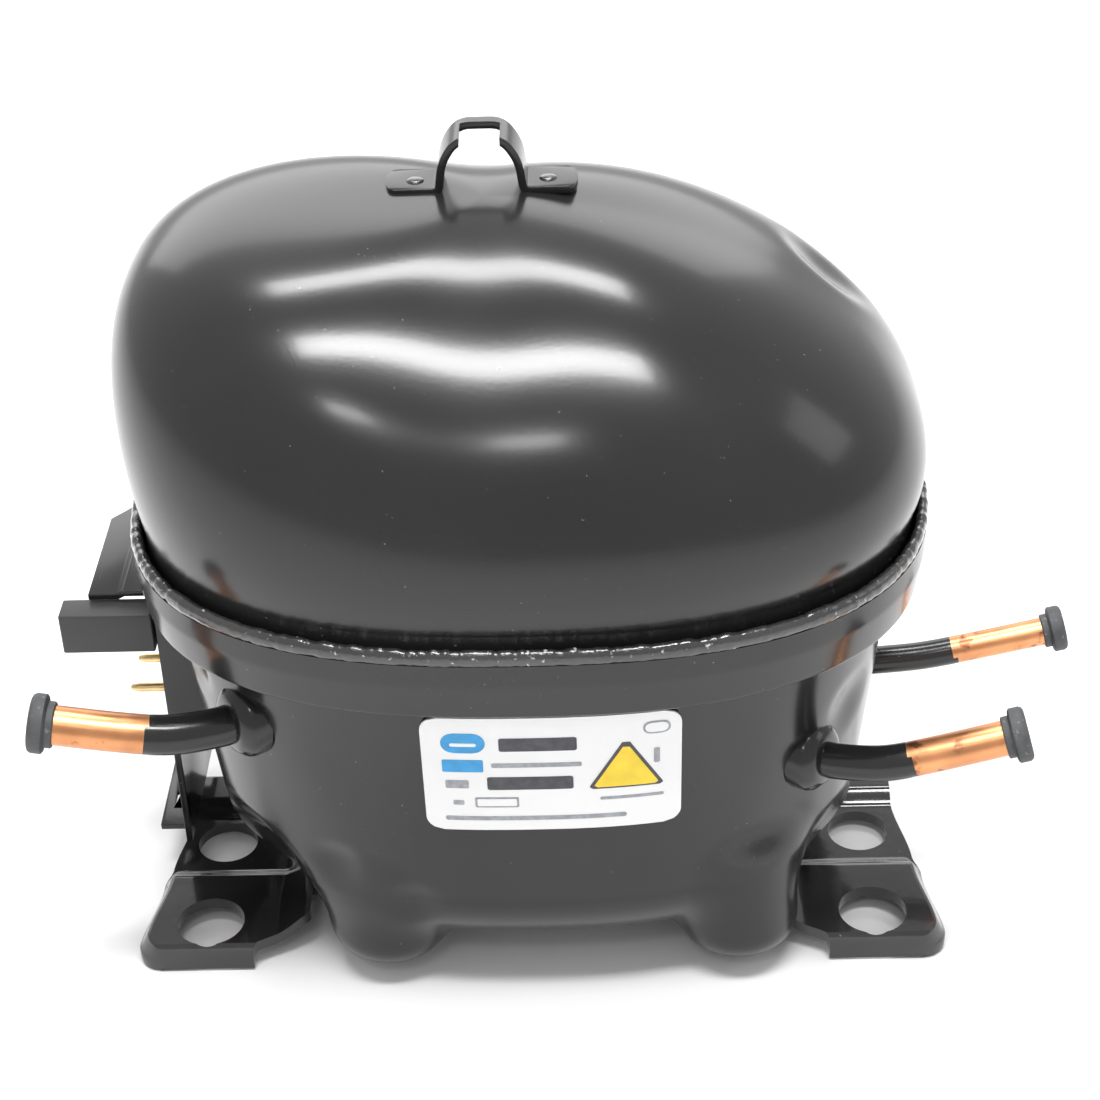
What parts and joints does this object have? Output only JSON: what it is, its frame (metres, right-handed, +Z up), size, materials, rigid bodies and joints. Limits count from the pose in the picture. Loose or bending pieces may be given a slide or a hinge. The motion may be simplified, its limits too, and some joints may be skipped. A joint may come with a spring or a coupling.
{
  "type": "hermetic reciprocating compressor",
  "caption": "Welded steel egg-shaped compressor with stub tubes, terminals and foot plates; a sprung motor turns a crank that drives a piston inside.",
  "frame": {"origin": "on the floor under the middle of the shell", "axes": "+X to the right and +Y to the back when the nameplate faces the viewer, +Z up along the crank axis"},
  "size_m": [0.2511, 0.1494, 0.2006],
  "materials": {
    "shell_paint": "gloss black stove enamel",
    "weld_paint": "black enamel over a rough weld bead",
    "label": "white coated paper label",
    "tube_copper": "bare copper, painted black near the shell",
    "rubber": "matte black rubber",
    "black_plastic": "matte black moulding",
    "terminal_steel": "plain steel",
    "terminal_glass": "fused glass",
    "pin_brass": "bright brass-coloured plating",
    "steel": "machined steel, oiled",
    "lamination": "stacked electrical steel",
    "cast_iron": "cast iron, machined on its bores",
    "aluminium": "cast aluminium",
    "winding": "enamelled winding wire, laced and varnished",
    "polymer": "natural polymer moulding"
  },
  "bodies": {
    "shell": {"upper_shell": "shell_paint", "lower_shell": "shell_paint", "top_bracket": "shell_paint", "left_base_plate": "shell_paint", "right_base_plate": "shell_paint", "suction_tube_collar": "shell_paint", "process_tube_collar": "shell_paint", "discharge_tube_collar": "shell_paint", "terminal_fence": "shell_paint", "weld_bead": "weld_paint", "nameplate": "label", "suction_tube": "tube_copper", "process_tube": "tube_copper", "discharge_tube": "tube_copper", "discharge_loop": "tube_copper", "suction_tube_plug": "rubber", "process_tube_plug": "rubber", "discharge_tube_plug": "rubber", "terminal_block": "black_plastic", "terminal_cup": "terminal_steel", "terminal_glass": "terminal_glass", "terminal_pin_1": "pin_brass", "terminal_pin_2": "pin_brass", "terminal_pin_3": "pin_brass", "spring_1": "steel", "spring_2": "steel", "spring_3": "steel", "spring_4": "steel", "spring_seat_1": "polymer", "spring_seat_2": "polymer", "spring_seat_3": "polymer", "spring_seat_4": "polymer"},
    "pump_frame": {"crankcase": "cast_iron", "stator_core": "lamination", "upper_winding": "winding", "lower_winding": "winding", "valve_gasket": "black_plastic", "valve_plate": "steel", "cylinder_head": "aluminium", "suction_muffler": "polymer", "discharge_muffler": "steel", "head_bolt_1": "steel", "head_bolt_2": "steel", "head_bolt_3": "steel", "head_bolt_4": "steel", "motor_bolt_1": "steel", "motor_bolt_2": "steel", "motor_bolt_3": "steel", "motor_bolt_4": "steel"},
    "crank": {"crankshaft": "steel", "rotor": "aluminium", "oil_pickup": "steel"},
    "oil_gallery_plug": {"oil_gallery_plug": "pin_brass"},
    "slide_block": {"slide_block": "steel"},
    "piston": {"piston": "cast_iron"},
    "suction_reed": {"suction_reed": "steel"},
    "discharge_reed": {"discharge_reed": "steel"}
  },
  "joints": [
    {"name": "suspension_travel", "type": "slide", "parent": "shell", "child": "pump_frame", "axis": [0, 0, 1], "range_m": [-0.002, 0.003], "stiffness_N_per_m": 14000, "springref_m": 0.0039, "deforming": ["spring_1", "spring_2", "spring_3", "spring_4", "discharge_loop"]},
    {"name": "crank_spin", "type": "hinge", "parent": "pump_frame", "child": "crank", "pos_m": [0.006, 0, 0.1], "axis": [0, 0, 1], "continuous": true},
    {"name": "gallery_plug_turn", "type": "hinge", "parent": "crank", "child": "oil_gallery_plug", "pos_m": [0.00225, 0, 0.0335], "axis": [0, 0, 1], "continuous": true},
    {"name": "slide_block_orbit", "type": "hinge", "parent": "crank", "child": "slide_block", "pos_m": [-0.0015, 0, 0.133], "axis": [0, 0, 1], "continuous": true},
    {"name": "piston_stroke", "type": "hinge", "parent": "oil_gallery_plug", "child": "piston", "pos_m": [-0.0015, 0, 0.133], "axis": [0, 0, 1], "continuous": true},
    {"name": "suction_reed_lift", "type": "hinge", "parent": "pump_frame", "child": "suction_reed", "pos_m": [-0.0448, 0, 0.126], "axis": [0, 1, 0], "range_deg": [0, 3.6], "stiffness_Nm_per_rad": 0.02},
    {"name": "discharge_reed_lift", "type": "hinge", "parent": "pump_frame", "child": "discharge_reed", "pos_m": [-0.0489, 0, 0.126], "axis": [0, -1, 0], "range_deg": [0, 4], "stiffness_Nm_per_rad": 0.02}
  ],
  "couplings": [
    {"joint": "gallery_plug_turn", "follows": "crank_spin", "ratio": -2},
    {"joint": "slide_block_orbit", "follows": "crank_spin", "ratio": -1},
    {"joint": "piston_stroke", "follows": "crank_spin", "ratio": 1}
  ]
}
